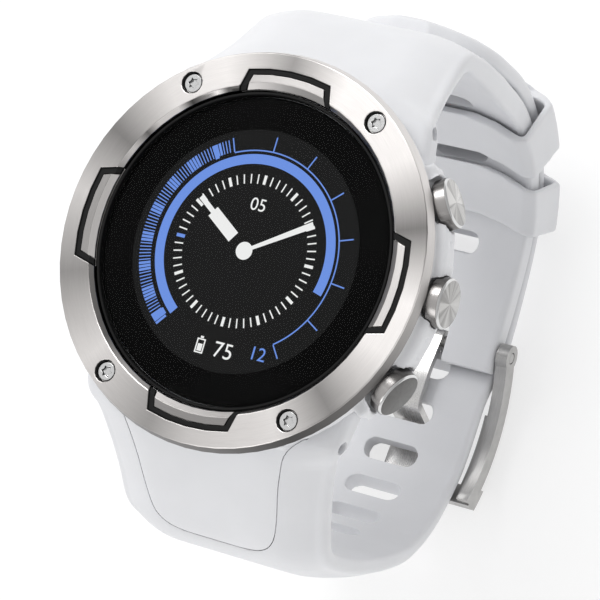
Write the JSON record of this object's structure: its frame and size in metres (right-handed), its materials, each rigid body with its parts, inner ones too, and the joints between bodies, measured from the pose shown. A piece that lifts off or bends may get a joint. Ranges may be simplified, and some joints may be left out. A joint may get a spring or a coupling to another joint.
{
  "type": "gps running watch",
  "caption": "Round GPS running watch with a brushed steel bezel, white case, side push buttons and a buckled white silicone strap.",
  "frame": {"origin": "centre of the wrist face, the flat of the sensor window", "axes": "+Z out of the dial, +Y to 12 o'clock, +X to 3 o'clock where the buttons are"},
  "size_m": [0.0484, 0.0696, 0.0634],
  "materials": {
    "steel": "circular brushing",
    "dark_steel": "fine brushing",
    "polyamide": "smooth satin",
    "silicone": "smooth satin with fine cross ribs",
    "black_rubber": "satin",
    "black_plastic": "gloss",
    "glass": "polished",
    "display": "satin",
    "circuit_board": "satin",
    "cell_foil": "satin",
    "ceramic": "matt",
    "gold": "polished"
  },
  "bodies": {
    "watch": {"case_body": "polyamide", "case_back": "polyamide", "back_gasket": "black_rubber", "back_screw_1": "steel", "back_screw_2": "steel", "back_screw_3": "steel", "back_screw_4": "steel", "sensor_window": "black_plastic", "sensor_board": "circuit_board", "charge_contact_1": "gold", "charge_contact_2": "gold", "charge_contact_3": "gold", "charge_contact_4": "gold", "bezel": "steel", "bezel_screw_1": "dark_steel", "bezel_screw_2": "dark_steel", "bezel_screw_3": "dark_steel", "bezel_screw_4": "dark_steel", "insert_plate_3": "dark_steel", "insert_seal_3": "black_rubber", "insert_plate_12": "dark_steel", "insert_seal_12": "black_rubber", "insert_plate_9": "dark_steel", "insert_seal_9": "black_rubber", "insert_plate_6": "dark_steel", "insert_seal_6": "black_rubber", "glass": "glass", "glass_gasket": "black_rubber", "display_module": "display", "main_board": "circuit_board", "battery": "cell_foil", "vibration_motor": "steel", "gps_antenna": "ceramic", "button_seal_upper": "black_rubber", "button_switch_upper": "black_plastic", "button_seal_middle": "black_rubber", "button_switch_middle": "black_plastic", "button_seal_lower": "black_rubber", "button_switch_lower": "black_plastic", "strap_long": "silicone", "strap_short": "silicone", "lug_pin_6": "steel", "lug_pin_12": "steel", "keeper_fixed": "silicone", "buckle_pin": "steel"},
    "button_upper": {"button_upper": "steel", "button_clip_upper": "dark_steel"},
    "button_middle": {"button_middle": "steel", "button_clip_middle": "dark_steel"},
    "button_lower": {"button_lower": "steel", "button_clip_lower": "dark_steel"},
    "keeper_free": {"keeper_free": "silicone"},
    "buckle_frame": {"buckle_frame": "dark_steel"},
    "buckle_tang": {"buckle_tang": "steel"}
  },
  "joints": [
    {"name": "press_upper", "type": "slide", "parent": "watch", "child": "button_upper", "axis": [-0.891, -0.454, 0], "range_m": [0, 0.0006], "stiffness_N_per_m": 1500, "springref_m": -0.001},
    {"name": "press_middle", "type": "slide", "parent": "watch", "child": "button_middle", "axis": [-1, 0, 0], "range_m": [0, 0.0006], "stiffness_N_per_m": 1500, "springref_m": -0.001},
    {"name": "press_lower", "type": "slide", "parent": "watch", "child": "button_lower", "axis": [-0.891, 0.454, 0], "range_m": [0, 0.0006], "stiffness_N_per_m": 1500, "springref_m": -0.001},
    {"name": "keeper_slides", "type": "hinge", "parent": "watch", "child": "keeper_free", "pos_m": [0, 0.01028, -0.02411], "axis": [1, 0, 0], "range_deg": [-5, 5]},
    {"name": "frame_turns", "type": "hinge", "parent": "watch", "child": "buckle_frame", "pos_m": [0, 0.0008, -0.0441], "axis": [1, 0, 0], "range_deg": [0, 1.5]},
    {"name": "tang_turns", "type": "hinge", "parent": "buckle_frame", "child": "buckle_tang", "pos_m": [0, 0.0008, -0.0441], "axis": [1, 0, 0], "range_deg": [-0.5, 0.5]}
  ]
}
